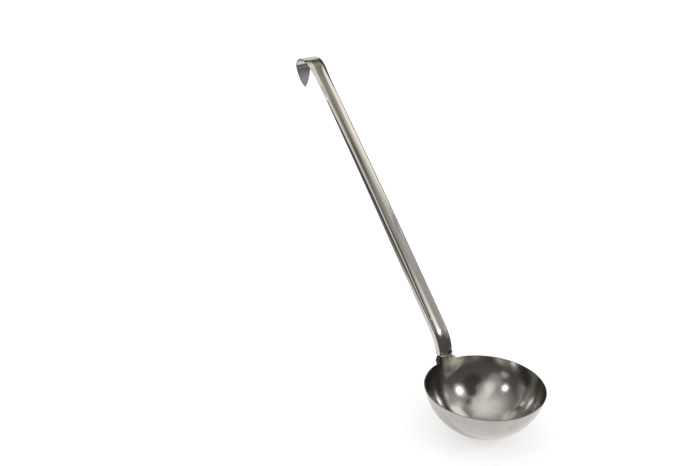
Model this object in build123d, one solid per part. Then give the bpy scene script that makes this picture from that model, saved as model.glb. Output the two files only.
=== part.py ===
from build123d import *
from math import cos, degrees, radians, sin
import os

# Soup ladle of stamped stainless sheet, in millimetres and degrees.
# +Z is up and the rim lies level. The origin is the lowest point of the bowl's outside.
# The handle leans away toward +Y, and the ladle is the same on both sides of the plane X = 0.

# Driving dimensions of the bowl and its tang
rim_radius = 60.0            # outside of the cut rim
bowl_depth = 49.4            # rim plane down to the outside of the bottom
bowl_sheet = 1.0
tang_lean = 11.6             # degrees from upright
tang_set_in = 1.5            # tang's outer face behind the rim circle, at rim height
tang_roll = 2.4              # outside of its rolled edges
tang_depth = 5.5             # its own flanges
tang_length = 38.5           # rim height to the tang's end, along its slope
root_height = 7.0            # the tang spreads out to the rim over this height
root_half_width = 13.5
root_roll = 20.0             # the rolled edges grow as wide as this at the rim
root_turn = 8.0              # degrees that they still turn there
root_depth = 0.3

# Driving dimensions of the handle
handle_sheet = 1.2
handle_width = 17.0
handle_lean = 45.0           # degrees from upright, above the neck
reach_length = 308.2         # neck to the foot of the hook
reach_turn = 3.4             # degrees that this stretch leans further by its top, in one long arch
handle_start = 8.0           # height of the flanges' lower end above the rim
neck_radius = 47.0           # of the front face
shoulder_radius = 2.5        # outside of the rolled edges
flange_depth = 7.6           # at the neck
flange_mid_depth = 7.2
flange_top_depth = 2.6
mid_share = 0.29             # places along the reach
top_share = 0.89
open_share = 0.95            # where the rolled edges begin to open out flat
open_turn = 72.0             # degrees that the rolled edge still turns there
flat_turn = 6.0              # degrees left at the foot of the hook
end_bow = 1.4                # the web's lower end is cut to a shallow curve
side_gap = 0.1               # tang to the inside of each flange; web and tang lie face to face

# Driving dimensions of the hook
hook_width = 18.6
foot_width = 20.6            # where the strip turns level; it narrows along the flat
foot_radius = 14.0           # outside, where the strip turns level
hook_flat = 8.2
hook_radius = 10.7           # outside
hook_turn = 102.4            # degrees
tongue_length = 21.4         # straight part below the hook
taper_length = 28.0          # height over which the tongue narrows
tip_radius = 1.6

# Driving dimensions of the welds
spot_radius = 2.5
spot_depth = 0.35            # into each sheet
spot_pitch = 15.0            # along the neck
bead_width = 1.1
bead_height = 0.9
bead_inset = 1.2             # bead ends inside the tang's rolled edges

# Sizes that follow
overrun = 5.0                # how far cutting shapes stand past what they cut
sphere_radius = (rim_radius**2 + bowl_depth**2) / (2 * bowl_depth)
inner_radius = sphere_radius - bowl_sheet
half_flat = handle_width / 2 - shoulder_radius
tang_half_width = handle_width / 2 - handle_sheet - side_gap
bow_radius = ((handle_width / 2)**2 + end_bow**2) / (2 * end_bow)


def along(lean):
    """Direction of travel up a path that leans back by this many degrees."""
    return Vector(0, sin(radians(lean)), cos(radians(lean)))


def behind(lean):
    """Direction from the front face of such a path to its back."""
    return Vector(0, cos(radians(lean)), -sin(radians(lean)))


def across(point, lean):
    """Plane square to the path: local x is the width, local y runs to the back."""
    return Plane(origin=point, x_dir=Vector(1, 0, 0), z_dir=along(lean))


def turned(face, point, lean, radius, turn):
    """The face swept round a bend that starts at the point, toward the back."""
    centre = point + behind(lean) * radius
    return revolve(face, axis=Axis(centre, Vector(-1, 0, 0)), revolution_arc=turn)


def bend_end(point, lean, radius, turn):
    centre = point + behind(lean) * radius
    return centre - behind(lean + turn) * radius


def slab(point, lean, width, thickness, length):
    """Flat strip that starts at the point and runs up the path."""
    strip = Pos(0, thickness / 2, 0) * Rectangle(width, thickness)
    return extrude(across(point, lean) * strip, amount=length, dir=along(lean))


# Places along the front face of the handle, from its end up to the hook
tang_outer = Vector(0, rim_radius - tang_set_in, bowl_depth)
tang_inner = tang_outer - behind(tang_lean) * bowl_sheet
handle_end = tang_inner - behind(tang_lean) * handle_sheet
handle_end = handle_end + along(tang_lean) * ((bowl_depth + handle_start - handle_end.Z) / cos(radians(tang_lean)))
neck_turn = handle_lean - tang_lean
neck_top = bend_end(handle_end, tang_lean, neck_radius, neck_turn)
reach_radius = degrees(reach_length / reach_turn)
top_lean = handle_lean + reach_turn
hook_foot = bend_end(neck_top, handle_lean, reach_radius, reach_turn)
foot_turn = 90 - top_lean
flat_start = bend_end(hook_foot, top_lean, foot_radius, foot_turn)
flat_end = flat_start + Vector(0, hook_flat, 0)
tongue_top = bend_end(flat_end, 90, hook_radius, hook_turn)
tongue_lean = 90 + hook_turn
tongue_tip = tongue_top + along(tongue_lean) * tongue_length


def cap(radius, face_offset):
    """Ball cut off at the rim plane, and flattened where the tang rises."""
    ball = Pos(0, 0, sphere_radius) * Sphere(radius)
    size = 2 * radius
    below = Pos(0, 0, bowl_depth - size) * Box(2 * size, 2 * size, 2 * size)
    face_point = tang_outer - behind(tang_lean) * face_offset
    block = Plane(origin=face_point, x_dir=Vector(1, 0, 0), z_dir=behind(tang_lean)) * Pos(0, 0, -size)
    return ball & below & (block * Box(2 * size, 2 * size, 2 * size))


def tang():
    """Strip that rises from the rim, folds back into a channel and follows the neck."""
    rise = (handle_end - tang_inner).dot(along(tang_lean))
    # Shares of the root's height, spread, roll, turn and depth, from the rim up
    root_shares = (
        (-bowl_sheet / root_height, 1, 1, 0, 0),
        (0, 1, 1, 0, 0),
        (0.37, 0.66, 0.18, 0.76, 0.77),
        (0.70, 0.36, 0.11, 0.93, 0.94),
        (1, 0, 0, 1, 1),
    )
    faces = []
    for height, spread, roll, turn, depth in root_shares:
        faces.append(tang_section(
            root_height * height,
            tang_half_width + (root_half_width - tang_half_width) * spread,
            tang_roll + (root_roll - tang_roll) * roll,
            root_turn + (90 - root_turn) * turn,
            root_depth + (tang_depth - root_depth) * depth,
        ))
    bend_in = tang_inner + along(tang_lean) * rise
    bend_radius = neck_radius - handle_sheet
    curve_turn = degrees((tang_length - rise) / bend_radius)
    bend_face = tang_section(rise, tang_half_width, tang_roll, 90, tang_depth)
    solid = turned(bend_face, bend_in, tang_lean, bend_radius, curve_turn)
    for lower, upper in zip(faces, faces[1:] + [bend_face]):
        solid = solid + loft([lower, upper], ruled=True)
    return solid


def spots():
    """Two welded discs that join web and tang, half in each."""
    bend_start = handle_end + behind(tang_lean) * handle_sheet
    bend_radius = neck_radius - handle_sheet
    middle = degrees((tang_length - handle_start) / 2 / bend_radius)
    step = degrees(spot_pitch / 2 / bend_radius)
    discs = []
    for turn in (middle - step, middle + step):
        place = bend_end(bend_start, tang_lean, bend_radius, turn)
        plane = Plane(origin=place, x_dir=Vector(1, 0, 0), z_dir=behind(tang_lean + turn))
        discs.append(plane * Cylinder(spot_radius, 2 * spot_depth))
    return discs


def section(point, lean, flat, radius, turn, straight, sheet):
    """Channel section: a flat front, rolled edges that turn back, and a straight flange at each."""
    angle = radians(turn)
    ways = []
    for roll in (radius, radius - sheet):
        start = Vector(flat, radius - roll)
        middle = Vector(flat + roll * sin(angle / 2), radius - roll * cos(angle / 2))
        end = Vector(flat + roll * sin(angle), radius - roll * cos(angle))
        tip = end + Vector(cos(angle), sin(angle)) * straight
        ways.append((start, middle, end, tip))
    plane = across(point, lean)

    def put(spot, side):
        return plane.from_local_coords(Vector(side * spot.X, spot.Y, 0))

    edges = []
    for start, middle, end, tip in ways:
        edges.append(Line(put(start, -1), put(start, 1)))
        for side in (-1, 1):
            edges.append(ThreePointArc(put(start, side), put(middle, side), put(end, side)))
            edges.append(Line(put(end, side), put(tip, side)))
    for side in (-1, 1):
        edges.append(Line(put(ways[0][3], side), put(ways[1][3], side)))
    return make_face(Curve() + edges)


def handle_section(point, lean, turn, straight):
    return section(point, lean, half_flat, shoulder_radius, turn, straight, handle_sheet)


def tang_section(height, half_width, radius, turn, depth):
    """Section of the tang by its height above the rim, outer half width and flange depth."""
    angle = radians(turn)
    straight = (depth - radius * (1 - cos(angle))) / sin(angle)
    flat = half_width - radius * sin(angle) - straight * cos(angle)
    place = tang_inner + along(tang_lean) * height
    return section(place, tang_lean, flat, radius, turn, straight, bowl_sheet)


def hook():
    """Flat strip turned level, round and down, ending in a rounded tongue."""
    strip = Pos(0, handle_sheet / 2, 0) * Rectangle(hook_width, handle_sheet)
    foot_strip = Pos(0, handle_sheet / 2, 0) * Rectangle(foot_width, handle_sheet)
    foot = turned(across(hook_foot, top_lean) * foot_strip, hook_foot, top_lean, foot_radius, foot_turn)
    corners = []
    for spot, width in ((flat_start, foot_width), (flat_end, hook_width)):
        corners.append((spot - Vector(width / 2, 0, 0), spot + Vector(width / 2, 0, 0)))
    (near_left, near_right), (far_left, far_right) = corners
    level = make_face(Polyline(near_left, near_right, far_right, far_left, close=True))
    flat = extrude(level, amount=handle_sheet, dir=behind(90))
    arch = turned(across(flat_end, 90) * strip, flat_end, 90, hook_radius, hook_turn)
    tongue = slab(tongue_top, tongue_lean, hook_width, handle_sheet, tongue_length + overrun)
    # Two arcs, level with the strip's sides at the top, meet below in a rounded tip
    half = hook_width / 2
    ogive_radius = (taper_length**2 + half**2) / (2 * half)
    shoulder_height = tongue_tip.Z + taper_length
    left = Pos(half - ogive_radius, 0) * Circle(ogive_radius)
    right = Pos(ogive_radius - half, 0) * Circle(ogive_radius)
    lower = Pos(0, -ogive_radius / 2) * Rectangle(2 * half, ogive_radius)
    outline = left & right & lower
    outline = fillet(outline.vertices().sort_by(Axis.Y)[0], tip_radius)
    outline = outline + Pos(0, ogive_radius / 2) * Rectangle(2 * half, ogive_radius)
    face = Plane(origin=Vector(0, flat_end.Y, shoulder_height), x_dir=Vector(1, 0, 0), z_dir=Vector(0, -1, 0))
    mask = extrude(face * outline, amount=-(hook_radius + overrun))
    return foot + flat + ((arch + tongue) & mask)


def handle():
    """One strip: rounded neck, long channel with fading flanges, and the hook."""
    end_section = handle_section(handle_end, tang_lean, 90, flange_depth - shoulder_radius)
    neck = turned(end_section, handle_end, tang_lean, neck_radius, neck_turn)
    deep = flange_depth - shoulder_radius
    middle = flange_mid_depth - shoulder_radius
    shallow = flange_top_depth - shoulder_radius
    between = (mid_share + top_share) / 2
    stations = [
        (0, 90, deep),
        (mid_share / 2, 90, (deep + middle) / 2),
        (mid_share, 90, middle),
        (between, 90, (middle + shallow) / 2),
        (top_share, 90, shallow),
        (open_share, open_turn, opened(open_turn, hook_width)),
        (1, flat_turn, opened(flat_turn, foot_width)),
    ]
    solid = neck
    faces = []
    for share, turn, straight in stations:
        place = bend_end(neck_top, handle_lean, reach_radius, reach_turn * share)
        faces.append(handle_section(place, handle_lean + reach_turn * share, turn, straight))
    for lower, upper in zip(faces, faces[1:]):
        solid = solid + loft([lower, upper], ruled=True)
    foot = extrude(end_section, amount=end_bow, dir=along(tang_lean) * -1)
    return solid + (foot & bow(0)) + hook()


def opened(turn, width):
    """Straight flange left over where the rolled edge opens out to a strip of this width."""
    return width / 2 - half_flat - shoulder_radius * radians(turn)


def bow(growth):
    """Disc square to the web, whose lower edge is the curve that the web's end is cut to."""
    plane = Plane(origin=handle_end, x_dir=Vector(1, 0, 0), z_dir=behind(tang_lean))
    return plane * Pos(0, end_bow - bow_radius, 0) * Cylinder(bow_radius + growth, 4 * flange_depth)


def seam_bead():
    """Weld bead along the curved end of the web, on the tang's front."""
    ring = bow(bead_width) - bow(0)
    plane = Plane(origin=handle_end, x_dir=Vector(1, 0, 0), z_dir=behind(tang_lean))
    layer = Pos(0, 0, handle_sheet - bead_height / 2)
    bead_length = 2 * (tang_half_width - tang_roll + bead_inset)
    band = plane * layer * Box(bead_length, 2 * (end_bow + bead_width), bead_height)
    bead = ring & band
    return bead


bowl_solid = cap(sphere_radius, 0) - cap(inner_radius, bowl_sheet) + tang()
handle_solid = handle()
discs = spots()
for disc in discs:
    bowl_solid = bowl_solid - disc
    handle_solid = handle_solid - disc

parts = {
    "bowl": bowl_solid,
    "handle": handle_solid,
    "spot_welds": Compound(children=[disc for disc in discs]),
    "seam_weld": seam_bead(),
}

os.makedirs("parts", exist_ok=True)
for name, shape in parts.items():
    export_step(shape, f"parts/{name}.step")
    box = shape.bounding_box()
    print(name, "solids", len(shape.solids()), "volume", round(shape.volume, 1), box)
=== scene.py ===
from math import acos, asin, cos, exp, log, pi, radians, sin, sqrt

import bmesh
import bpy
from mathutils import Matrix, Vector


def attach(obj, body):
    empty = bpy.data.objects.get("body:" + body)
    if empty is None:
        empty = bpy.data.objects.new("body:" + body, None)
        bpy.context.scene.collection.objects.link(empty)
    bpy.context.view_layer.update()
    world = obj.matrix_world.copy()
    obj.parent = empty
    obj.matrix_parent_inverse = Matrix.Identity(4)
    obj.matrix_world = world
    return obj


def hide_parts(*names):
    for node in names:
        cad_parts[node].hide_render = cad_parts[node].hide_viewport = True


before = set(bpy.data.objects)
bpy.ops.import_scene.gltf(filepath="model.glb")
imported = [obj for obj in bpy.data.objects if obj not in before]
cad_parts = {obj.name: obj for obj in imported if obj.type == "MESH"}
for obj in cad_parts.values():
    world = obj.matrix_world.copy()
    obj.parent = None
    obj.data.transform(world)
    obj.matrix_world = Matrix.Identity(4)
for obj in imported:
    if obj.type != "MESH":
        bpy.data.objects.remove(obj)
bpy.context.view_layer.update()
print("frame loaded:", ", ".join(sorted(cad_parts)))

mm = 0.001

# A lean is the angle of a path from upright, toward +Y

def alongLean(lean):
    return Vector((0, sin(lean), cos(lean)))


def behindLean(lean):
    return Vector((0, cos(lean), -sin(lean)))


def smoothStep(value, start, end):
    share = min(max((value - start) / (end - start), 0), 1)
    return share * share * (3 - 2 * share)


def mix(first, second, share):
    return first + (second - first) * share


def addObject(name, data):
    piece = bpy.data.objects.new(name, data)
    bpy.context.scene.collection.objects.link(piece)
    return piece


def addMesh(name, mesh):
    data = bpy.data.meshes.new(name)
    mesh.to_mesh(data)
    mesh.free()
    return addObject(name, data)


# Materials and nodes

def newMaterial(name):
    material = bpy.data.materials.new(name)
    material.use_nodes = True
    tree = material.node_tree
    return material, tree, tree.nodes["Principled BSDF"]


def give(tree, socket, value):
    # Another node's output is linked, and anything else is set
    if isinstance(value, bpy.types.NodeSocket):
        tree.links.new(value, socket)
    else:
        socket.default_value = value


def addNode(tree, kind, **settings):
    node = tree.nodes.new(kind)
    for name, value in settings.items():
        if name in node.inputs:
            give(tree, node.inputs[name], value)
        else:
            setattr(node, name, value)
    return node


def mathNode(tree, operation, *values):
    node = addNode(tree, "ShaderNodeMath", operation=operation)
    for socket, value in zip(node.inputs, values):
        give(tree, socket, value)
    return node.outputs[0]


def vectorNode(tree, operation, first, second=None, scale=None):
    node = addNode(tree, "ShaderNodeVectorMath", operation=operation)
    for index, value in ((0, first), (1, second), (3, scale)):
        if value is not None:
            give(tree, node.inputs[index], value)
    return node.outputs[1 if operation in ("LENGTH", "DISTANCE", "DOT_PRODUCT") else 0]


def splitPlace(tree, place):
    split = addNode(tree, "ShaderNodeSeparateXYZ")
    tree.links.new(place, split.inputs[0])
    return split.outputs


def joinPlace(tree, *values):
    joined = addNode(tree, "ShaderNodeCombineXYZ")
    for socket, value in zip(joined.inputs, values):
        give(tree, socket, value)
    return joined.outputs[0]


def stretchedNoise(tree, vector, scale, detail, roughness=0.5):
    mapping = addNode(tree, "ShaderNodeMapping", Vector=vector, Scale=scale)
    noise = addNode(tree, "ShaderNodeTexNoise", Vector=mapping.outputs[0], Scale=1.0, Detail=detail,
                    Roughness=roughness)
    return noise.outputs["Fac"]


def addBump(tree, strength, distance, height, normal=None):
    bump = addNode(tree, "ShaderNodeBump", Strength=strength, Distance=distance, Height=height)
    if normal is not None:
        tree.links.new(normal, bump.inputs["Normal"])
    return bump.outputs[0]


def colourRamp(tree, factor, stops):
    ramp = tree.nodes.new("ShaderNodeValToRGB")
    elements = ramp.color_ramp.elements
    while len(elements) < len(stops):
        elements.new(0.5)
    for element, (place, colour) in zip(elements, stops):
        element.position = place
        element.color = (*colour, 1)
    tree.links.new(factor, ramp.inputs["Fac"])
    return ramp.outputs["Color"]


def mapRange(tree, value, low, high, newLow, newHigh):
    node = tree.nodes.new("ShaderNodeMapRange")
    names = ("Value", "From Min", "From Max", "To Min", "To Max")
    for name, number in zip(names, (value, low, high, newLow, newHigh)):
        give(tree, node.inputs[name], number)
    return node.outputs["Result"]


def blend(tree, under, colour, share):
    node = tree.nodes.new("ShaderNodeMix")
    node.data_type = "RGBA"
    tree.links.new(share, node.inputs["Factor"])
    tree.links.new(under, node.inputs["A"])
    node.inputs["B"].default_value = (*colour, 1)
    return node.outputs["Result"]


def awayFrom(tree, place, middle, size):
    # How far from the middle of an oval mark, which ends at 1
    off = vectorNode(tree, "SUBTRACT", place, middle)
    return vectorNode(tree, "LENGTH", vectorNode(tree, "DIVIDE", off, size))


def unevenRoughness(tree, finish, first, second):
    # Wanders with two noises
    first = mathNode(tree, "MULTIPLY", first, 0.5)
    both = mathNode(tree, "ADD", first, mathNode(tree, "MULTIPLY", second, 0.5))
    low = finish["roughness"] - finish["roughnessSpread"]
    high = finish["roughness"] + finish["roughnessSpread"]
    return mapRange(tree, both, 0.3, 0.7, low, high)


handleFinish = {
    "base": (0.58, 0.56, 0.535),
    "dull": (0.52, 0.505, 0.48),
    "roughness": 0.13,
    "roughnessSpread": 0.04,
    "anisotropy": 0.3,
    "grainAcross": 9000.0,   # grain lines per metre, across the strip
    "grainAlong": 60.0,
    "grainDepth": 0.000003,
    "nick": (-0.0062, 0.0395),   # die mark across the shoulder, painted near-white as a glint: aside, along
    "nickSize": (0.0013, 0.0005),
    "nickGlintColour": (0.95, 0.93, 0.9),
    "spots": (0.008, 0.023),     # shallow dents over the spot welds, along the middle
    "spotRadius": 0.0022,
    "spotDepth": 0.00003,
}


def makeHandleSteel(finish):
    material, tree, shader = newMaterial("brushedStripSteel")
    uv = addNode(tree, "ShaderNodeUVMap", uv_map="blank").outputs["UV"]
    grain = stretchedNoise(tree, uv, (finish["grainAcross"], finish["grainAlong"], 1), 4)
    cloud = stretchedNoise(tree, uv, (60, 25, 1), 3)
    tint = colourRamp(tree, cloud, [(0.3, finish["dull"]), (0.7, finish["base"])])
    # A die mark on one side only, painted near-white and less metallic as a glint
    fromNick = awayFrom(tree, uv, (*finish["nick"], 0), (*finish["nickSize"], 1))
    nick = mapRange(tree, fromNick, 0.6, 1.2, 0.8, 0.0)
    tree.links.new(blend(tree, tint, finish["nickGlintColour"], nick), shader.inputs["Base Color"])
    tree.links.new(mathNode(tree, "SUBTRACT", 1.0, nick), shader.inputs["Metallic"])
    tree.links.new(unevenRoughness(tree, finish, grain, cloud), shader.inputs["Roughness"])
    relief = addBump(tree, 0.5, finish["grainDepth"], grain)
    for place in finish["spots"]:
        fromSpot = vectorNode(tree, "DISTANCE", uv, (0, place, 0))
        height = mapRange(tree, fromSpot, finish["spotRadius"] * 0.6, finish["spotRadius"], 0.0, 1.0)
        relief = addBump(tree, 1.0, finish["spotDepth"], height, relief)
    tree.links.new(relief, shader.inputs["Normal"])
    tangent = addNode(tree, "ShaderNodeTangent", direction_type="UV_MAP", uv_map="blank")
    tree.links.new(tangent.outputs[0], shader.inputs["Tangent"])
    shader.inputs["Anisotropic"].default_value = finish["anisotropy"]
    return material


bowlFinish = {
    "base": (0.52, 0.505, 0.485),
    "dull": (0.46, 0.445, 0.425),
    "roughness": 0.15,
    "roughnessSpread": 0.04,
    "rings": 2600.0,
    "strawTintAndHighlight": (0.93, 0.86, 0.64),     # straw heat tint in front of the weld, pale and matte as a painted highlight
    "strawHighlightPlace": (0.0098, 0.0562, 0.0472),
    "strawHighlightSize": (0.0115, 0.009, 0.008),
    "strawHighlightRoughness": 0.36,
    "strawHighlightMetal": 0.12,
    "pit": (-0.0153, -0.0545, 0.0381),
    "pitSize": (0.0003, 0.0008),     # radius of its floor and of its edge
    "paintedShadeAndMarks": (0.09, 0.08, 0.075),    # painted shade, nearly black, down the tang's left side; also the colour of the small marks and the pit
    "paintedShadeFrom": 0.0034,
    "paintedShadeReach": 0.0042,
    "paintedShadeAlong": (0.0500, 0.0565),  # starts at the first y and is full at the second
    "paintedShadeTop": (0.0605, 0.0635),    # full below the first height and gone above the second
}


def makeBowlSteel(finish):
    material, tree, shader = newMaterial("spunBowlSteel")
    place = addNode(tree, "ShaderNodeTexCoord").outputs["Object"]
    x, y, z = splitPlace(tree, place)
    square = mathNode(tree, "ADD", mathNode(tree, "MULTIPLY", x, x), mathNode(tree, "MULTIPLY", y, y))
    around = mathNode(tree, "SQRT", square)
    away = mathNode(tree, "MAXIMUM", around, 0.0005)
    ringHeight = mathNode(tree, "MULTIPLY", mathNode(tree, "ADD", around, z), finish["rings"] / 2)
    outward = [mathNode(tree, "DIVIDE", side, away) for side in (x, y)]
    ringPlace = joinPlace(tree, *outward, ringHeight)
    rings = stretchedNoise(tree, ringPlace, (2.2, 2.2, 1), 5, 0.6)
    cloud = stretchedNoise(tree, place, (55, 55, 55), 4)
    tint = colourRamp(tree, cloud, [(0.3, finish["dull"]), (0.7, finish["base"])])
    rough = unevenRoughness(tree, finish, rings, cloud)
    # Colours round the weld: straw heat tint in front of it, made pale and matte as a painted highlight, and
    # painted shade, nearly black, down the tang's left side
    fine = stretchedNoise(tree, place, (420, 420, 420), 4, 0.6)
    # Straw heat tint that is also a painted highlight: a pale, matte, less metallic patch in front of the
    # weld
    fromStrawHighlight = awayFrom(tree, place, finish["strawHighlightPlace"], finish["strawHighlightSize"])
    ragged = mathNode(tree, "ADD", fromStrawHighlight, mathNode(tree, "MULTIPLY", fine, 0.9))
    strawTintAndHighlight = mapRange(tree, ragged, 0.6, 1.75, 1.0, 0.0)
    # Mask of the painted shade: the tang's left side only, below a ragged height
    onTang = mapRange(tree, y, *finish["paintedShadeAlong"], 0.0, 1.0)
    sides = mapRange(tree, x, -finish["paintedShadeFrom"], -finish["paintedShadeFrom"] - finish["paintedShadeReach"], 0.0, 1.0)
    raggedHeight = mathNode(tree, "MULTIPLY_ADD", fine, 0.004, z)
    below = mapRange(tree, raggedHeight, *finish["paintedShadeTop"], 1.0, 0.0)
    paintedShadeAndMarks = mathNode(tree, "MULTIPLY", mathNode(tree, "MULTIPLY", sides, onTang), below)
    marks = mapRange(tree, stretchedNoise(tree, place, (700, 700, 1300), 2), 0.66, 0.72, 0.0, 1.0)
    marked = mathNode(tree, "MULTIPLY", mathNode(tree, "MULTIPLY", marks, strawTintAndHighlight), 0.7)
    tint = blend(tree, tint, finish["strawTintAndHighlight"], mathNode(tree, "MULTIPLY", strawTintAndHighlight, 0.85))
    tint = blend(tree, tint, finish["paintedShadeAndMarks"], mathNode(tree, "MAXIMUM", paintedShadeAndMarks, marked))
    fromPit = vectorNode(tree, "DISTANCE", place, finish["pit"])
    tint = blend(tree, tint, finish["paintedShadeAndMarks"], mapRange(tree, fromPit, *finish["pitSize"], 0.9, 0.0))
    tree.links.new(tint, shader.inputs["Base Color"])
    rougher = mathNode(tree, "SUBTRACT", finish["strawHighlightRoughness"], rough)
    rough = mathNode(tree, "MULTIPLY_ADD", rougher, mathNode(tree, "MAXIMUM", strawTintAndHighlight, paintedShadeAndMarks), rough)
    tree.links.new(rough, shader.inputs["Roughness"])
    relief = addBump(tree, 0.35, 0.00002, rings)
    relief = addBump(tree, 0.5, 0.0005, mathNode(tree, "MULTIPLY", fine, strawTintAndHighlight), relief)
    tree.links.new(relief, shader.inputs["Normal"])
    tree.links.new(mapRange(tree, strawTintAndHighlight, 0.0, 1.0, 1.0, finish["strawHighlightMetal"]), shader.inputs["Metallic"])
    return material


# The bowl and its tang are one sheet, drawn by its inner face

bowl = {
    "rimRadius": 60.0,
    "depth": 49.4,
    "sheet": 1.0,
    "rows": 96,
    "columns": 150,            # round the part of the rim outside the tang
    "crease": 0.6,             # softness of the fold round the flattened patch
    "tangLean": 11.6,
    "tangSetIn": 1.5,
    "tangLength": 38.5,
    "tangColumns": 22,         # from the middle of the tang to its edge
    "rootHalfWidth": 13.5,
    "rootSoftness": 0.9,
    # Each row: height, half width, radius of the rolled edge, degrees it turns, depth of the flange
    "root": ((2.6, 11.36, 5.57, 70.3, 4.3), (4.9, 9.47, 4.34, 84.3, 5.19), (7.0, 7.2, 2.4, 90.0, 5.5)),
    "neckRadius": 47.0,
    "handleSheet": 1.2,
    "handleStart": 8.0,
}

tangLean = radians(bowl["tangLean"])
sphereRadius = (bowl["rimRadius"]**2 + bowl["depth"]**2) / (2 * bowl["depth"])
innerRadius = sphereRadius - bowl["sheet"]
rimReach = sqrt(innerRadius**2 - (sphereRadius - bowl["depth"])**2)
tangOuter = Vector((0, bowl["rimRadius"] - bowl["tangSetIn"], bowl["depth"]))
tangInner = tangOuter - behindLean(tangLean) * bowl["sheet"]
handleEnd = tangInner - behindLean(tangLean) * bowl["handleSheet"]
handleEnd += alongLean(tangLean) * ((bowl["depth"] + bowl["handleStart"] - handleEnd.z) / cos(tangLean))


def flatten(point):
    depth = (point - tangInner).dot(behindLean(tangLean)) / bowl["crease"]
    push = depth if depth > 30 else log(1 + exp(depth))
    return point - behindLean(tangLean) * (push * bowl["crease"])


def channelPoint(halfWidth, roll, turn, depth, share):
    # Place across a folded strip: out along the flat, round the rolled edge and down the flange
    turn = radians(turn)
    flange = (depth - roll * (1 - cos(turn))) / sin(turn)
    flat = halfWidth - roll * sin(turn) - flange * cos(turn)
    gone = share * (flat + roll * turn + flange)
    if gone < flat:
        return Vector((gone, 0, 0))
    angle = min((gone - flat) / roll, turn)
    left = max(gone - flat - roll * turn, 0)
    across = flat + roll * sin(angle) + left * cos(turn)
    return Vector((across, 0, roll * (1 - cos(angle)) + left * sin(turn)))


def rootPoint(height, share):
    # The root's shape between two heights: across, up the slope, and back
    x = share * bowl["rootHalfWidth"]
    rim = flatten(Vector((x, sqrt(rimReach**2 - x * x), bowl["depth"]))) - tangInner
    place = Vector((x, rim.dot(alongLean(tangLean)), rim.dot(behindLean(tangLean))))
    low = 0.0
    for row in bowl["root"]:
        wanted = channelPoint(*row[1:], share)
        if height < row[0]:
            return place.lerp(wanted, (height - low) / (row[0] - low))
        place, low = wanted, row[0]
    return place


def tangPoint(height, share):
    # Place on the tang's front by its slope height above the rim, and its share of the way to the edge
    soft = min(bowl["rootSoftness"], height)
    local = Vector()
    for step in (-1, -0.5, 0, 0.5, 1):
        local += rootPoint(height + soft * step, share) / 5
    rise = (handleEnd - tangInner).dot(alongLean(tangLean))
    bendRadius = bowl["neckRadius"] - bowl["handleSheet"]
    lean = tangLean + max(height - rise, 0) / bendRadius
    centre = tangInner + alongLean(tangLean) * min(height, rise) + behindLean(tangLean) * bendRadius
    point = centre - behindLean(lean) * bendRadius
    return point + Vector((local.x, 0, 0)) + alongLean(lean) * local.y + behindLean(lean) * local.z


def makeBowl():
    mesh = bmesh.new()
    half = bowl["tangColumns"]
    angles = [asin(index / half * bowl["rootHalfWidth"] / rimReach) for index in range(half + 1)]
    ring = [-angle for angle in reversed(angles[1:])] + angles
    for index in range(1, bowl["columns"]):
        ring.append(mix(angles[-1], 2 * pi - angles[-1], index / bowl["columns"]))
    rimTurn = acos((sphereRadius - bowl["depth"]) / innerRadius)
    bottom = mesh.verts.new((0, 0, sphereRadius - innerRadius))
    rows = []
    for row in range(1, bowl["rows"] + 1):
        turn = rimTurn * row / bowl["rows"]
        if row == bowl["rows"] - 1:
            turn = rimTurn - 0.4 / innerRadius
        verts = []
        for angle in ring:
            radius = innerRadius * sin(turn)
            height = sphereRadius - innerRadius * cos(turn)
            verts.append(mesh.verts.new(flatten(Vector((radius * sin(angle), radius * cos(angle), height)))))
        rows.append(verts)
    count = len(ring)
    for index in range(count):
        mesh.faces.new((bottom, rows[0][(index + 1) % count], rows[0][index]))
    for lower, upper in zip(rows, rows[1:]):
        for index in range(count):
            after = (index + 1) % count
            mesh.faces.new((lower[index], lower[after], upper[after], upper[index]))
    # Rows of the tang go on from the rim
    before = rows[-1][:2 * half + 1]
    heights = [0.3]
    while heights[-1] < bowl["tangLength"] - 1.2:
        heights.append(heights[-1] + (0.4 if heights[-1] < 8 else 1.1))
    heights += [bowl["tangLength"] - 0.4, bowl["tangLength"]]
    for height in heights:
        verts = []
        for index in range(-half, half + 1):
            point = tangPoint(height, abs(index) / half)
            point.x = point.x if index >= 0 else -point.x
            verts.append(mesh.verts.new(point))
        for index in range(len(verts) - 1):
            mesh.faces.new((before[index], before[index + 1], verts[index + 1], verts[index]))
        before = verts
    for vert in mesh.verts:
        vert.co *= mm
    return addMesh("bowlSheet", mesh)


def addModifiers(piece, sheet, edge):
    solidify = piece.modifiers.new("thickness", "SOLIDIFY")
    solidify.thickness = sheet * mm
    solidify.offset = -1
    solidify.use_even_offset = True
    bevel = piece.modifiers.new("easedEdges", "BEVEL")
    bevel.width = edge * mm
    bevel.segments = 2
    bevel.limit_method = "ANGLE"
    bevel.angle_limit = radians(50)


def bake(piece):
    # Applies what the modifiers make, and leaves a plain mesh
    bpy.context.view_layer.update()
    shape = piece.evaluated_get(bpy.context.evaluated_depsgraph_get())
    data = bpy.data.meshes.new_from_object(shape)
    piece.modifiers.clear()
    piece.data = data
    for face in data.polygons:
        face.use_smooth = True
    return piece


def settle(piece, node, material):
    piece.data.materials.clear()
    piece.data.materials.append(material)
    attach(piece, "root")
    if node:
        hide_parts(node)


bowlSteel = makeBowlSteel(bowlFinish)
bowlPiece = makeBowl()
addModifiers(bowlPiece, bowl["sheet"], 0.22)
bake(bowlPiece)
settle(bowlPiece, "bowl", bowlSteel)
print("bowl and tang:", len(bowlPiece.data.polygons), "faces")


# The handle is cut flat as a blank, then folded by a node tree

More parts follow.
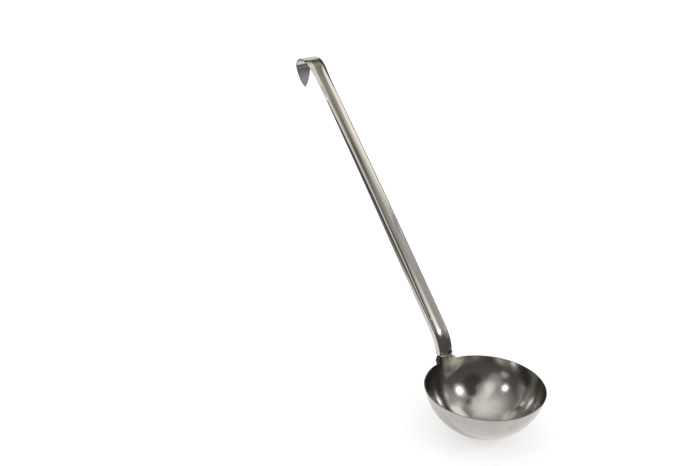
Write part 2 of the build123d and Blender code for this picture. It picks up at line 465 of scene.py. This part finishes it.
strip = {
    "sheet": 1.2,
    "halfWidth": 8.5,
    "webHalfTop": 4.6,         # flat left at the foot of the hook, where the edges open out
    "innerShare": 0.6,
    "innerTilt": 8.5,
    "crownTilt": 15.0,         # tilt at the web's edge
    "rollRadius": 1.9,         # at both ends
    "rollRadiusMiddle": 3.3,
    "rollPlaces": (40, 105, 262, 318),   # it grows between the first two and shrinks between the last two
    "rollTurn": 90.0,
    "facetTilt": 45.0,         # a flat facet widens in the rolled edge toward the hook
    "facetEndTilt": 20.0,
    "facetWidth": 4.6,
    "facetFrom": 295.0,
    "fadeFrom": 338.0,         # the facets flatten here
    "fadeTo": 349.0,
    "openFrom": 298.0,
    "openTo": 337.0,
    "openPower": 3.0,
    # Half width of the flat blank at places up its length
    "blankPlaces": (0, 60, 117, 209, 250, 302, 320, 336, 346, 354),
    "blankHalf": (14.5, 14.2, 13.75, 11.45, 10.6, 9.35, 9.3, 10.25, 10.25, 9.3),
    "endBow": 1.4,             # how far the lower end is curved down in the middle
    "endBowHalf": 8.7,
    "neckRadius": 47.0,
    "handleLean": 45.0,
    "reach": 304.85,
    "reachTurn": 3.4,
    "footRadius": 22.4,
    "hookFlat": 5.0,
    "hookRadius": 10.7,
    "hookTurn": 102.4,
    "tongue": 21.4,
    "taper": 28.3,
    "taperPower": 1.73,
    "taperRoot": 1.32,
}


def stripRuns(shape):
    neckTurn = shape["handleLean"] - bowl["tangLean"]
    footTurn = 90 - shape["handleLean"] - shape["reachTurn"]
    return [
        ("end", 5.0, 0.0),
        ("neck", shape["neckRadius"] * radians(neckTurn), neckTurn),
        ("reach", shape["reach"], shape["reachTurn"]),
        ("foot", shape["footRadius"] * radians(footTurn), footTurn),
        ("flat", shape["hookFlat"], 0.0),
        ("arch", shape["hookRadius"] * radians(shape["hookTurn"]), shape["hookTurn"]),
        ("tongue", shape["tongue"], 0.0),
    ]


runs = stripRuns(strip)
stripLength = sum(run[1] for run in runs[1:])
foldedHalf = strip["halfWidth"] + strip["rollRadiusMiddle"] * 0.5   # on the blank, to the end of the roll


def along(places, values, place):
    for low, high, first, second in zip(places, places[1:], values, values[1:]):
        if place < high:
            return mix(first, second, max(place - low, 0) / (high - low))
    return values[-1]


def blankHalfWidth(place):
    # The mean over a short window rounds the corners of the cut
    window = (-5, -2.5, 0, 2.5, 5)
    halves = [along(strip["blankPlaces"], strip["blankHalf"], place + step) for step in window]
    half = sum(halves) / len(window)
    start = stripLength - strip["taper"]
    share = min(max((place - start) / strip["taper"], 0), 1)
    return half * max(1 - share**strip["taperPower"], 0)**(1 / strip["taperRoot"])


def blankRows():
    steps = {"neck": 0.9, "reach": 3.5, "foot": 0.5, "flat": 1.0, "arch": 0.6, "tongue": 0.9}
    rows = []
    place = 0.0
    for name, length, turn in runs[1:]:
        count = max(int(length / steps[name]), 1)
        rows += [place + length * index / count for index in range(count)]
        place += length
    fold = (strip["openFrom"] - 6, strip["openTo"] - 1)
    rows = [row for row in rows if not fold[0] < row < fold[1]]
    rows += [mix(*fold, index / 64) for index in range(65)]
    # Closer rows at the blunt tip and at the lower end
    tip = [stripLength - 0.6 * (1 - index / 8)**2 for index in range(9)]
    return [0.0, 0.3] + sorted(row for row in rows if 0.6 < row < stripLength - 1.2) + tip


def makeBlank():
    mesh = bmesh.new()
    uvLayer = mesh.loops.layers.uv.new("blank")
    shares = [index / 38 for index in range(39)]
    before = None
    for place in blankRows():
        half = blankHalfWidth(place)
        edge = min(half, foldedHalf + 0.4)
        line = [edge * share for share in shares]
        line += [mix(edge, half, share) if half > foldedHalf + 0.45 else edge + 0.0004 * index
                 for index, share in enumerate((0.25, 0.5, 0.75, 1))]
        line = [-across for across in reversed(line[1:])] + line
        if half < 1e-4:
            verts = [mesh.verts.new((0, place, 0))] * len(line)
        else:
            verts = []
            for across in line:
                inside = max(1 - (across / strip["endBowHalf"])**2, 0)
                bow = strip["endBow"] * inside * (1 - smoothStep(place, 0, 5))
                verts.append(mesh.verts.new((across, place - bow, 0)))
        if before:
            for index in range(len(line) - 1):
                corners = (before[index], before[index + 1], verts[index + 1], verts[index])
                unique = list(dict.fromkeys(corners))
                if len(unique) > 2:
                    mesh.faces.new(unique)
        before = verts
    bmesh.ops.remove_doubles(mesh, verts=mesh.verts, dist=0.002)
    for face in mesh.faces:
        for loop in face.loops:
            loop[uvLayer].uv = (loop.vert.co.x * mm, loop.vert.co.y * mm)
    return addMesh("handleStrip", mesh)


def makeBendGroup():
    # Rolls one run of strip through an angle: how far it goes on, aside, and how much it turns
    tree = bpy.data.node_groups.new("bendRun", "GeometryNodeTree")
    for name in ("Distance", "Start", "Length", "Angle Before", "Turn"):
        tree.interface.new_socket(name, in_out="INPUT", socket_type="NodeSocketFloat")
    for name in ("Onward", "Aside", "Turned"):
        tree.interface.new_socket(name, in_out="OUTPUT", socket_type="NodeSocketFloat")
    given = tree.nodes.new("NodeGroupInput").outputs
    result = tree.nodes.new("NodeGroupOutput").inputs
    past = mathNode(tree, "SUBTRACT", given["Distance"], given["Start"])
    past = mathNode(tree, "MINIMUM", mathNode(tree, "MAXIMUM", past, 0.0), given["Length"])
    turned = mathNode(tree, "MULTIPLY", mathNode(tree, "DIVIDE", past, given["Length"]), given["Turn"])
    half = mathNode(tree, "MULTIPLY_ADD", turned, 0.5, 0.00001)   # never quite nothing, since it divides
    chord = mathNode(tree, "MULTIPLY", past, mathNode(tree, "DIVIDE", mathNode(tree, "SINE", half), half))
    heading = mathNode(tree, "ADD", given["Angle Before"], half)
    onward = mathNode(tree, "MULTIPLY", chord, mathNode(tree, "COSINE", heading))
    aside = mathNode(tree, "MULTIPLY", chord, mathNode(tree, "SINE", heading))
    tree.links.new(onward, result["Onward"])
    tree.links.new(aside, result["Aside"])
    tree.links.new(turned, result["Turned"])
    return tree


def addBend(tree, group, *values):
    # The values are distance, start, length, angle before and turn
    node = tree.nodes.new("GeometryNodeGroup")
    node.node_tree = group
    for socket, value in zip(node.inputs, values):
        give(tree, socket, value)
    return node.outputs["Onward"], node.outputs["Aside"], node.outputs["Turned"]


def newPieceTree(name, numbers, metal):
    tree = bpy.data.node_groups.new(name, "GeometryNodeTree")
    for way in ("INPUT", "OUTPUT"):
        tree.interface.new_socket("Geometry", in_out=way, socket_type="NodeSocketGeometry")
    for number in numbers:
        tree.interface.new_socket(number, in_out="INPUT", socket_type="NodeSocketFloat")
    tree.interface.new_socket(metal, in_out="INPUT", socket_type="NodeSocketMaterial")
    return tree, tree.nodes.new("NodeGroupInput").outputs, tree.nodes.new("NodeGroupOutput").inputs


def makeFoldTree(group, numbers):
    tree, given, result = newPieceTree("foldStrip", numbers, "Steel")
    split = splitPlace(tree, tree.nodes.new("GeometryNodeInputPosition").outputs[0])
    across = mathNode(tree, "ABSOLUTE", split["X"])
    side = mathNode(tree, "SIGN", split["X"])
    place = split["Y"]

    # Down the length: the path of the front face
    start = mathNode(tree, "MULTIPLY", given["end length"], -1.0)
    lean = given["First Lean"]
    upward = mathNode(tree, "MULTIPLY", start, mathNode(tree, "COSINE", lean))
    outward = mathNode(tree, "MULTIPLY", start, mathNode(tree, "SINE", lean))
    totalLean = lean
    for name, length, turn in runs:
        runLength, runTurn = given[name + " length"], given[name + " turn"]
        up, out, turned = addBend(tree, group, place, start, runLength, lean, runTurn)
        upward = mathNode(tree, "ADD", upward, up)
        outward = mathNode(tree, "ADD", outward, out)
        totalLean = mathNode(tree, "ADD", totalLean, turned)
        lean = mathNode(tree, "ADD", lean, runTurn)
        start = mathNode(tree, "ADD", start, runLength)

    # How far the edges have opened out toward the hook
    opening = mapRange(tree, place, given["Open From"], given["Open To"], 0.0, 1.0)
    closed = mathNode(tree, "SUBTRACT", 1.0, mathNode(tree, "POWER", opening, given["Open Power"]))
    growth = mapRange(tree, place, given["Facet From"], given["Open To"], 0.0, 1.0)
    # Radius of the rolled edges, and the web left between them
    grown = mapRange(tree, place, given["Grow From"], given["Grow To"], 0.0, 1.0)
    shrunk = mapRange(tree, place, given["Shrink From"], given["Shrink To"], 1.0, 0.0)
    swell = mathNode(tree, "MINIMUM", grown, shrunk)
    rollRadius = mapRange(tree, swell, 0.0, 1.0, given["Roll Radius"], given["Roll Radius Middle"])
    crownSine = mathNode(tree, "SINE", given["Crown Tilt"])
    rollWide = mathNode(tree, "MULTIPLY", rollRadius, mathNode(tree, "SUBTRACT", 1.0, crownSine))
    webHalf = mathNode(tree, "SUBTRACT", given["Half Width"], rollWide)
    webHalf = mapRange(tree, growth, 0.0, 1.0, webHalf, given["Web Half Top"])
    facetTilt = mapRange(tree, growth, 0.0, 1.0, given["Facet Tilt"], given["Facet End Tilt"])
    kept = mapRange(tree, place, given["Fade From"], given["Fade To"], 1.0, 0.0)
    facetTilt = mathNode(tree, "MULTIPLY", facetTilt, kept)
    facetWidth = mathNode(tree, "MULTIPLY", growth, given["Facet Width"])
    innerTilt = mathNode(tree, "MULTIPLY", given["Inner Tilt"], closed)
    crownTilt = mathNode(tree, "MULTIPLY", given["Crown Tilt"], closed)
    rollTurn = mathNode(tree, "MAXIMUM", mathNode(tree, "MULTIPLY", given["Roll Turn"], closed), facetTilt)

    # Across: a crowned web in two curves, a rolled edge round a facet, and a straight flange
    tiny = 0.000001   # so that no run has a length of nothing
    angles = [0.0, innerTilt, crownTilt, facetTilt, facetTilt, rollTurn, rollTurn]
    lengths = [
        mathNode(tree, "MULTIPLY", webHalf, given["Inner Share"]),
        mathNode(tree, "MULTIPLY", webHalf, mathNode(tree, "SUBTRACT", 1.0, given["Inner Share"])),
        mathNode(tree, "MULTIPLY", mathNode(tree, "SUBTRACT", facetTilt, crownTilt), rollRadius),
        mathNode(tree, "ADD", facetWidth, tiny),
        mathNode(tree, "MULTIPLY_ADD", mathNode(tree, "SUBTRACT", rollTurn, facetTilt), rollRadius, tiny),
        1.0,
    ]
    wide, deep, from0 = 0.0, 0.0, 0.0
    for index, length in enumerate(lengths):
        turn = mathNode(tree, "SUBTRACT", angles[index + 1], angles[index])
        out, back, turned = addBend(tree, group, across, from0, length, angles[index], turn)
        wide = mathNode(tree, "ADD", out, wide)
        deep = mathNode(tree, "ADD", back, deep)
        from0 = mathNode(tree, "ADD", length, from0)

    # Both together
    x = mathNode(tree, "MULTIPLY", side, wide)
    y = mathNode(tree, "MULTIPLY_ADD", deep, mathNode(tree, "COSINE", totalLean), outward)
    sink = mathNode(tree, "MULTIPLY", deep, mathNode(tree, "SINE", totalLean))
    z = mathNode(tree, "SUBTRACT", upward, sink)
    folded = joinPlace(tree, x, y, z)
    move = addNode(tree, "GeometryNodeSetPosition", Geometry=given["Geometry"], Position=folded)
    finishTree(tree, move.outputs[0], given["Steel"], result["Geometry"])
    return tree


def finishTree(tree, geometry, material, result):
    real = tree.nodes.new("GeometryNodeRealizeInstances")
    tree.links.new(geometry, real.inputs[0])
    paint = tree.nodes.new("GeometryNodeSetMaterial")
    tree.links.new(real.outputs[0], paint.inputs["Geometry"])
    tree.links.new(material, paint.inputs["Material"])
    tree.links.new(paint.outputs[0], result)


def setInputs(modifier, values):
    for item in modifier.node_group.interface.items_tree:
        if item.in_out == "INPUT" and item.name in values:
            modifier[item.identifier] = values[item.name]


handleSteel = makeHandleSteel(handleFinish)
handlePiece = makeBlank()
for vert in handlePiece.data.vertices:
    vert.co *= mm
fold = handlePiece.modifiers.new("fold", "NODES")
foldValues = {
    "First Lean": radians(bowl["tangLean"]),
    "Half Width": strip["halfWidth"] * mm,
    "Web Half Top": strip["webHalfTop"] * mm,
    "Inner Share": strip["innerShare"],
    "Inner Tilt": radians(strip["innerTilt"]),
    "Crown Tilt": radians(strip["crownTilt"]),
    "Roll Radius": strip["rollRadius"] * mm,
    "Roll Radius Middle": strip["rollRadiusMiddle"] * mm,
    "Grow From": strip["rollPlaces"][0] * mm,
    "Grow To": strip["rollPlaces"][1] * mm,
    "Shrink From": strip["rollPlaces"][2] * mm,
    "Shrink To": strip["rollPlaces"][3] * mm,
    "Roll Turn": radians(strip["rollTurn"]),
    "Facet Tilt": radians(strip["facetTilt"]),
    "Facet End Tilt": radians(strip["facetEndTilt"]),
    "Facet Width": strip["facetWidth"] * mm,
    "Facet From": strip["facetFrom"] * mm,
    "Fade From": strip["fadeFrom"] * mm,
    "Fade To": strip["fadeTo"] * mm,
    "Open From": strip["openFrom"] * mm,
    "Open To": strip["openTo"] * mm,
    "Open Power": strip["openPower"],
}
for runName, runLength, runTurn in runs:
    foldValues[runName + " length"] = runLength * mm
    foldValues[runName + " turn"] = radians(runTurn)
fold.node_group = makeFoldTree(makeBendGroup(), list(foldValues))
setInputs(fold, {**foldValues, "Steel": handleSteel})
bake(handlePiece)
for vert in handlePiece.data.vertices:
    vert.co += handleEnd * mm
addModifiers(handlePiece, strip["sheet"], 0.25)
bake(handlePiece)
settle(handlePiece, "handle", handleSteel)
print("handle:", len(handlePiece.data.polygons), "faces")


# Weld bead along the curved end of the web

seam = {
    "halfLength": 7.9,
    "width": 1.35,
    "height": 1.0,
    "ripples": 17,
    "rippleDepth": 0.16,
    "wander": 0.5,
    "seed": 3.0,
    "sunk": 0.32,              # share of its height below the web's face
    "below": 0.3,              # share of its width below the web's end
    "edgeFrom": 5.6,           # past this it follows the rolled edge back
    "edgeBend": 0.12,
    "metallic": 0.35,
    # Pale weld metal; the paleness is partly a painted highlight of the bright line along the seam
    "base": (0.86, 0.84, 0.80),
    "scorched": (0.34, 0.29, 0.24),
}


def makeWeldMetal(finish):
    material, tree, shader = newMaterial("weldMetal")
    place = addNode(tree, "ShaderNodeTexCoord").outputs["Object"]
    cloud = stretchedNoise(tree, place, (900, 900, 900), 4, 0.6)
    # Pale base with scorched spots; the pale part is partly a painted highlight
    tint = colourRamp(tree, cloud, [(0.36, finish["scorched"]), (0.44, finish["base"])])
    tree.links.new(tint, shader.inputs["Base Color"])
    tree.links.new(mapRange(tree, cloud, 0.3, 0.7, 0.42, 0.2), shader.inputs["Roughness"])
    tree.links.new(addBump(tree, 0.5, 0.00005, cloud), shader.inputs["Normal"])
    shader.inputs["Metallic"].default_value = finish["metallic"]
    return material


def makeSeamLine():
    # Points just below the web's end, on the tang's front
    bow = strip["endBow"]
    bowRadius = (strip["halfWidth"]**2 + bow**2) / (2 * bow)
    points = []
    for index in range(41):
        x = mix(-seam["halfLength"], seam["halfLength"], index / 40)
        rise = bowRadius - bow - sqrt(bowRadius**2 - x * x) - seam["below"] * seam["width"]
        past = max(abs(x) - seam["edgeFrom"], 0)
        back = strip["sheet"] - seam["sunk"] * seam["height"] + seam["edgeBend"] * past**2
        local = Vector((x, 0, 0)) + alongLean(tangLean) * rise + behindLean(tangLean) * back
        points.append((handleEnd + local) * mm)
    data = bpy.data.meshes.new("seamBead")
    data.from_pydata(points, [(index, index + 1) for index in range(40)], [])
    return addObject("seamBead", data)


def makeBeadTree():
    numbers = ("Half Width", "Ripples", "Ripple Depth", "Wander", "Seed")
    tree, given, result = newPieceTree("rippledBead", numbers, "Metal")
    curve = tree.nodes.new("GeometryNodeMeshToCurve")
    tree.links.new(given["Geometry"], curve.inputs[0])
    fine = addNode(tree, "GeometryNodeResampleCurve", Count=240, Curve=curve.outputs[0])
    share = tree.nodes.new("GeometryNodeSplineParameter").outputs["Factor"]
    noise = addNode(tree, "ShaderNodeTexNoise", noise_dimensions="1D", Detail=2, Scale=1)
    tree.links.new(mathNode(tree, "MULTIPLY_ADD", share, 9.0, given["Seed"]), noise.inputs["W"])
    stray = mathNode(tree, "SUBTRACT", noise.outputs[0], 0.5)
    # Ripples: each one swells, then drops sharply
    phase = mathNode(tree, "MULTIPLY_ADD", share, given["Ripples"], stray)
    swell = mathNode(tree, "POWER", mathNode(tree, "FRACT", phase), 0.6)
    radius = mathNode(tree, "SUBTRACT", 1.0, mathNode(tree, "MULTIPLY", swell, given["Ripple Depth"]))
    fromMiddle = mathNode(tree, "ABSOLUTE", mathNode(tree, "MULTIPLY_ADD", share, 2.0, -1.0))
    ends = mathNode(tree, "SUBTRACT", 1.0, mathNode(tree, "POWER", fromMiddle, 14.0))
    radius = mathNode(tree, "MULTIPLY", radius, mathNode(tree, "SQRT", mathNode(tree, "ADD", ends, 0.02)))
    radius = mathNode(tree, "MULTIPLY", radius, given["Half Width"])
    offset = joinPlace(tree, 0.0, 0.0, mathNode(tree, "MULTIPLY", stray, given["Wander"]))
    move = addNode(tree, "GeometryNodeSetPosition", Geometry=fine.outputs[0], Offset=offset)
    circle = addNode(tree, "GeometryNodeCurvePrimitiveCircle", Resolution=14, Radius=1.0)
    sweep = tree.nodes.new("GeometryNodeCurveToMesh")
    tree.links.new(move.outputs[0], sweep.inputs["Curve"])
    tree.links.new(circle.outputs[0], sweep.inputs["Profile Curve"])
    sweep.inputs["Fill Caps"].default_value = True
    tree.links.new(radius, sweep.inputs["Scale"])
    finishTree(tree, sweep.outputs[0], given["Metal"], result["Geometry"])
    return tree


weldMetal = makeWeldMetal(seam)
seamPiece = makeSeamLine()
beads = seamPiece.modifiers.new("beads", "NODES")
beads.node_group = makeBeadTree()
setInputs(beads, {
    "Half Width": seam["width"] / 2 * mm,
    "Ripples": float(seam["ripples"]),
    "Ripple Depth": seam["rippleDepth"] * 2,
    "Wander": seam["wander"] * 2 * mm,
    "Seed": seam["seed"],
    "Metal": weldMetal,
})
bake(seamPiece)
settle(seamPiece, "seam_weld", weldMetal)
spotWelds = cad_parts["spot_welds"]
for slot in spotWelds.material_slots:
    slot.material = weldMetal
print("welds:", len(seamPiece.data.polygons), "faces in the seam")


# Floor, room and lamps

studio = {
    "floorSize": 30.0,
    "floorTone": 0.93,
    "floorLift": 0.44,         # brings the floor to white for the camera and for the steel
    "ambient": 0.68,
    "lampDistance": 2.6,
    # Each lamp: degrees round, degrees up, size, watts
    "rightLamp": (32, 43, 0.42, 2.9),
    "leftLamp": (-97, 40, 0.34, 1.8),
    "domeRadius": 3.2,
    "domeRows": 18,
    "roomColumns": 48,
    "darkest": (0.075, 0.07, 0.066),
    # Each edge of the dark surround: from x, y to x, y, and its height
    "surround": ((-0.6, -0.5, 0.9, -0.42, 0.13), (0.9, -0.42, 0.9, 0.9, 0.13),
                 (0.9, 0.9, -0.5, 0.9, 0.2), (-0.5, 0.9, -0.6, -0.5, 0.2)),
    "surroundTone": (0.105, 0.10, 0.10),
    # Rings of ground: middle and height, inner and outer radius, then share of the outer one and tone
    # The first ring is a painted shadow of the bowl: a disc under it, darker in the middle, that only the
    # steel mirrors
    "shade": ((0, 0, 0.0003), 0.0, 0.095,
              ((0.1, (0.50, 0.49, 0.48)), (0.5, (0.76, 0.75, 0.735)), (0.9, (1.0, 0.985, 0.97)))),
    "ground": ((0.06, 0.15, 0.001), 0.19, 3.3,
               ((0.074, (1.0, 0.98, 0.96)), (0.086, (0.5, 0.49, 0.48)), (0.106, (0.34, 0.33, 0.33)),
                (0.16, (0.15, 0.145, 0.145)), (0.3, (0.11, 0.11, 0.11)))),
    # A small card that the hook's tongue mirrors
    "cardMiddle": (0.136, 0.11),
    "cardHeights": (0.252, 0.286),
    "cardHalf": (0.03, 0.0195),
    "cardTones": ((0.0, (0.30, 0.38, 0.41)), (1.0, (0.5, 0.52, 0.53))),
    # What the steel mirrors by height: sine of the height, then tone
    "roomTones": ((0.0, (0.10, 0.092, 0.088)), (0.52, (0.14, 0.13, 0.12)), (0.72, (0.36, 0.345, 0.325)),
                  (0.84, (0.60, 0.58, 0.55)), (0.92, (0.88, 0.86, 0.82)), (1.0, (1.2, 1.16, 1.06))),
    "streaks": {"count": 7.0, "heights": (0.72, 0.9), "depth": 1.6},
    # Each soft patch: degrees round, degrees up, inner and outer radius, strength, colour
    "patches": (
        (32, 43, 4, 13, 1.0, (1, 1, 1)),
        (-97, 40, 3, 9.5, 0.8, (0.85, 0.93, 1)),
        (70, 30, 4, 26, 0.3, (1, 0.97, 0.94)),
        (93, 41, 6, 16, 1.05, (1, 0.98, 0.8)),
        (64, 51, 4, 10, 0.15, (1, 0.98, 0.9)),
        (41, 67, 2, 8, -0.5, (1, 1, 1)),
        (56, 64, 2, 7, -0.3, (1, 1, 1)),
        (26, 63, 3, 9, -0.3, (1, 1, 1)),
        (0, 58, 4, 12, -0.42, (1, 1, 1)),
        (46, 58, 3, 8, -0.15, (1, 1, 1)),
        (73, 49, 3, 9, 0.3, (1, 0.98, 0.9)),
        (82, 27, 4, 14, 0.2, (1, 0.98, 0.92)),
        (-12, 50, 6, 26, -0.38, (1, 1, 1)),
        (-66, 36, 2, 18, 0.35, (1, 1, 1)),
        (-58, 51, 5, 15, 0.45, (1, 1, 1)),
        (-82, 18, 4, 10, 0.5, (1, 1, 1)),
        (-40, 58, 8, 20, 0.3, (1, 1, 1)),
        (128, 48, 10, 22, -0.15, (1, 0.97, 1)),
        (86, 60, 4, 13, -0.35, (1, 0.97, 1)),
        (147, 12, 13.5, 17.5, 0.85, (1, 0.98, 0.95)),
        (-154, 25, 3, 6, 2.5, (1, 0.97, 0.88)),
        (-176, 40, 4, 14, 0.6, (1, 0.93, 0.75)),
        (66, 26, 2, 6, 0.45, (1, 1, 1)),
        (-140, 8, 8, 30, 0.25, (1, 0.98, 0.96)),
    ),
}


def seenDirectly(tree):
    # 1 for the camera, for mirrors and through glass, and 0 for the light that falls on things
    path = tree.nodes.new("ShaderNodeLightPath").outputs
    seen = mathNode(tree, "MAXIMUM", path["Is Camera Ray"], path["Is Glossy Ray"])
    return mathNode(tree, "MAXIMUM", seen, path["Is Transmission Ray"])


def makeFloor():
    data = bpy.data.meshes.new("floor")
    half = studio["floorSize"] / 2
    corners = [(-half, -half, 0), (half, -half, 0), (half, half, 0), (-half, half, 0)]
    data.from_pydata(corners, [], [(0, 1, 2, 3)])
    floor = addObject("floor", data)
    material, tree, shader = newMaterial("paleFloor")
    shader.inputs["Base Color"].default_value = (*[studio["floorTone"]] * 3, 1)
    shader.inputs["Roughness"].default_value = 0.9
    shader.inputs["Specular IOR Level"].default_value = 0
    shader.inputs["Emission Color"].default_value = (1, 1, 1, 1)
    lift = mathNode(tree, "MULTIPLY", seenDirectly(tree), studio["floorLift"])
    tree.links.new(lift, shader.inputs["Emission Strength"])
    data.materials.append(material)


def towardSky(azimuth, elevation):
    # Azimuth is round from the front, toward +X
    turn, height = radians(azimuth), radians(elevation)
    return Vector((sin(turn) * cos(height), -cos(turn) * cos(height), sin(height)))


def addLamp(name):
    azimuth, elevation, size, watts = studio[name]
    data = bpy.data.lights.new(name, "AREA")
    data.shape = "DISK"
    data.size = size
    data.energy = watts
    lamp = addObject(name, data)
    towards = towardSky(azimuth, elevation)
    lamp.location = towards * studio["lampDistance"]
    lamp.rotation_euler = towards.to_track_quat("Z", "Y").to_euler()


def addRoomPiece(name, corners, faces, material):
    # Part of the room, which only the steel mirrors
    data = bpy.data.meshes.new(name)
    data.from_pydata(corners, [], faces)
    piece = addObject(name, data)
    data.materials.append(material)
    piece.visible_camera = False
    piece.visible_diffuse = False
    piece.visible_shadow = False
    piece.visible_transmission = False


def newGlow(name):
    # A material that gives its own tone and mirrors nothing
    material, tree, shader = newMaterial(name)
    shader.inputs["Base Color"].default_value = (0, 0, 0, 1)
    shader.inputs["Specular IOR Level"].default_value = 0
    shader.inputs["Emission Strength"].default_value = 1
    place = addNode(tree, "ShaderNodeTexCoord").outputs["Object"]
    return material, tree, place, shader.inputs["Emission Color"]


def makeRoomTone():
    material, tree, place, glow = newGlow("roomTone")
    facing = vectorNode(tree, "NORMALIZE", place)
    split = splitPlace(tree, facing)
    tone = colourRamp(tree, split["Z"], studio["roomTones"])
    for azimuth, elevation, inner, outer, strength, colour in studio["patches"]:
        near = vectorNode(tree, "DOT_PRODUCT", facing, towardSky(azimuth, elevation))
        fade = addNode(tree, "ShaderNodeMapRange", interpolation_type="SMOOTHSTEP", Value=near)
        fade.inputs["From Min"].default_value = cos(radians(outer))
        fade.inputs["From Max"].default_value = cos(radians(inner))
        fade.inputs["To Max"].default_value = strength
        tone = vectorNode(tree, "ADD", tone, vectorNode(tree, "SCALE", colour, scale=fade.outputs[0]))
    # Faint streaks that fall from the top of the room, as folds of cloth do
    streaks = studio["streaks"]
    turn = mathNode(tree, "ARCTAN2", split["X"], split["Y"])
    low = joinPlace(tree, turn, mathNode(tree, "MULTIPLY", split["Z"], 0.4))
    folds = stretchedNoise(tree, low, (streaks["count"], streaks["count"] / 6, 1), 3, 0.6)
    depth = mapRange(tree, split["Z"], *streaks["heights"], 0.0, streaks["depth"])
    change = mathNode(tree, "MULTIPLY_ADD", mathNode(tree, "SUBTRACT", folds, 0.5), depth, 1.0)
    tone = vectorNode(tree, "SCALE", tone, scale=change)
    tree.links.new(vectorNode(tree, "MAXIMUM", tone, studio["darkest"]), glow)
    return material


def addGround(name):
    middle, inner, outer, tones = studio[name]
    material, tree, place, glow = newGlow(name + "Tone")
    share = mathNode(tree, "DIVIDE", vectorNode(tree, "DISTANCE", place, middle), outer)
    tree.links.new(colourRamp(tree, share, tones), glow)
    corners, faces = [], []
    count = studio["roomColumns"]
    for index in range(count):
        angle = index * pi / (count / 2)
        outward = Vector((sin(angle), cos(angle), 0))
        corners += [Vector(middle) + outward * reach for reach in (max(inner, 0.001), outer)]
        after = (index + 1) % count
        faces.append((index * 2, index * 2 + 1, after * 2 + 1, after * 2))
    addRoomPiece(name, corners, faces, material)


def addCard():
    middle, half, heights = studio["cardMiddle"], studio["cardHalf"], studio["cardHeights"]
    material, tree, place, glow = newGlow("cardTone")
    rise = mapRange(tree, splitPlace(tree, place)["Z"], *heights, 0.0, 1.0)
    tree.links.new(colourRamp(tree, rise, studio["cardTones"]), glow)
    corners = [(middle[0] + side * half[0], middle[1] + side * half[1], height)
               for side, height in ((-1, heights[0]), (1, heights[0]), (1, heights[1]), (-1, heights[1]))]
    addRoomPiece("roomCard", corners, [(0, 1, 2, 3)], material)


def makeRoom():
    tone = makeRoomTone()
    # Painted shadow under the bowl, seen only in the steel
    addGround("shade")
    addGround("ground")
    addCard()
    rows, columns = studio["domeRows"], studio["roomColumns"]
    corners = []
    for row in range(rows + 1):
        for column in range(columns):
            corners.append(towardSky(column * 360 / columns, row * 90 / rows) * studio["domeRadius"])
    faces = []
    for row in range(rows):
        for column in range(columns):
            here, after = row * columns + column, row * columns + (column + 1) % columns
            faces.append((here, after, after + columns, here + columns))
    addRoomPiece("roomDome", corners, faces, tone)
    dark, tree, place, glow = newGlow("darkSurround")
    glow.default_value = (*studio["surroundTone"], 1)
    corners, faces = [], []
    for x0, y0, x1, y1, height in studio["surround"]:
        faces.append(tuple(len(corners) + index for index in range(4)))
        corners += [(x0, y0, 0), (x1, y1, 0), (x1, y1, height), (x0, y0, height)]
    addRoomPiece("roomSurround", corners, faces, dark)


makeFloor()
addLamp("rightLamp")
addLamp("leftLamp")
makeRoom()

world = bpy.context.scene.world or bpy.data.worlds.new("world")
bpy.context.scene.world = world
world.use_nodes = True
worldTree = world.node_tree
background = worldTree.nodes["Background"]
background.inputs["Color"].default_value = (1, 1, 1, 1)
ambient = studio["ambient"]
worldLift = mathNode(worldTree, "MULTIPLY_ADD", seenDirectly(worldTree), 1 - ambient, ambient)
worldTree.links.new(worldLift, background.inputs["Strength"])
print("studio built")

# Camera

view = {
    "place": (-0.77735, -0.77158, 0.72542),
    "aim": (-0.0700, 0.1369, 0.1777),
    "roll": 2.75,
    "lens": 66.86,
}


def makeCamera(view):
    data = bpy.data.cameras.new("camera")
    data.lens = view["lens"]
    data.sensor_width = 36
    data.clip_end = 100
    camera = addObject("camera", data)
    camera.location = view["place"]
    gaze = Vector(view["aim"]) - Vector(view["place"])
    turn = gaze.to_track_quat("-Z", "Y").to_matrix() @ Matrix.Rotation(radians(view["roll"]), 3, "Z")
    camera.rotation_euler = turn.to_euler()
    bpy.context.scene.camera = camera


makeCamera(view)
bpy.context.scene.view_settings.view_transform = "Standard"
print("camera set")
